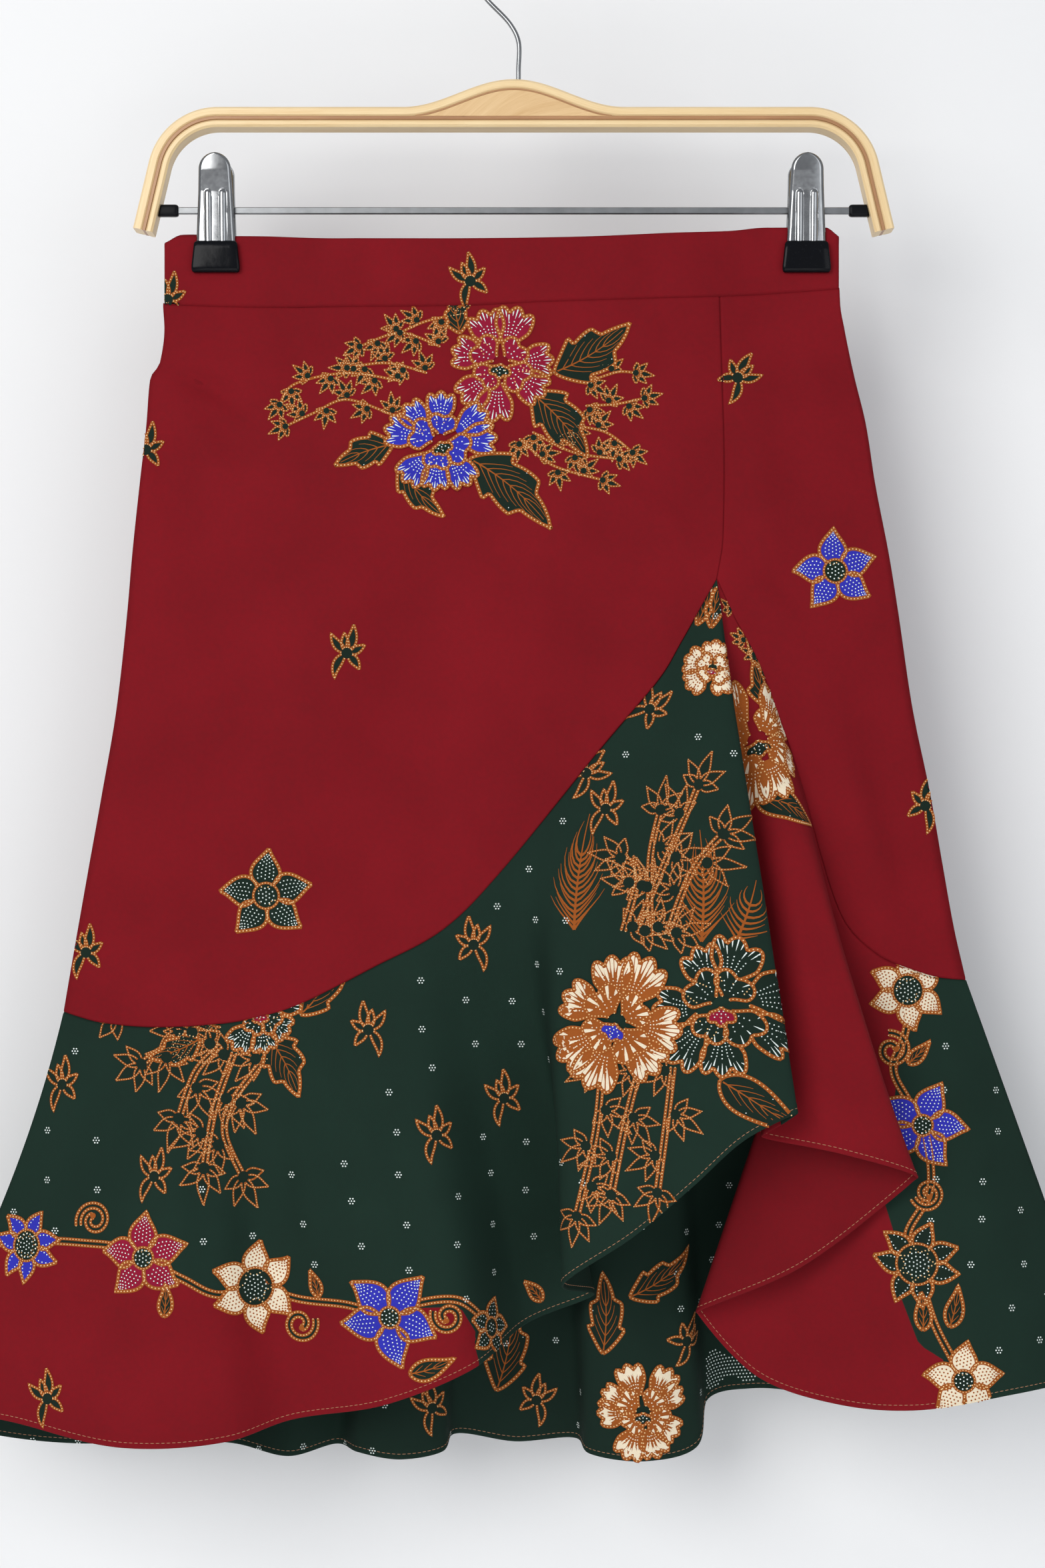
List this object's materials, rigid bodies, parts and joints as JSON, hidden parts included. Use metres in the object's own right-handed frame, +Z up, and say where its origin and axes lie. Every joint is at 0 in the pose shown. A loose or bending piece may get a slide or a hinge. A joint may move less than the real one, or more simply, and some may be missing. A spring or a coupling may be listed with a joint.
{
  "type": "mermaid skirt on a clip hanger",
  "caption": "Long fitted skirt with a wrap-look front, a curved flounce that falls in a cascade below the slit, and a longer back flounce, hung flat from a wooden clip hanger.",
  "frame": {"origin": "inside top of the hanger's hook, where a rail carries it", "axes": "+Z up, -Y out of the skirt's front, +X to the right as seen from the front"},
  "size_m": [0.6337, 0.1137, 0.8123],
  "materials": {
    "red_cloth": "matt plain-weave cotton, printed",
    "border_cloth": "matt plain-weave cotton, printed in green and red",
    "bent_wood": "clear lacquer",
    "insert_wood": "clear lacquer",
    "hook_wire": "bright",
    "bar_steel": "zinc plated",
    "clip_chrome": "bright",
    "clip_vinyl": "dipped vinyl",
    "black_cap": "moulded"
  },
  "bodies": {
    "root": {"front_waistband": "red_cloth", "back_waistband": "red_cloth", "front_left_panel": "red_cloth", "front_right_panel": "red_cloth", "back_panel": "red_cloth", "front_left_flounce": "border_cloth", "front_right_flounce": "border_cloth", "back_flounce": "border_cloth", "hanger_outer_strip": "bent_wood", "hanger_inner_strip": "bent_wood", "hanger_insert": "insert_wood", "hanger_hook": "hook_wire", "hanger_bar": "bar_steel", "bar_cap_left": "black_cap", "bar_cap_right": "black_cap", "clip_left_front_plate": "clip_chrome", "clip_left_back_plate": "clip_chrome", "clip_left_front_tip": "clip_vinyl", "clip_left_back_tip": "clip_vinyl", "clip_left_coil": "bar_steel", "clip_right_front_plate": "clip_chrome", "clip_right_back_plate": "clip_chrome", "clip_right_front_tip": "clip_vinyl", "clip_right_back_tip": "clip_vinyl", "clip_right_coil": "bar_steel"}
  },
  "joints": []
}
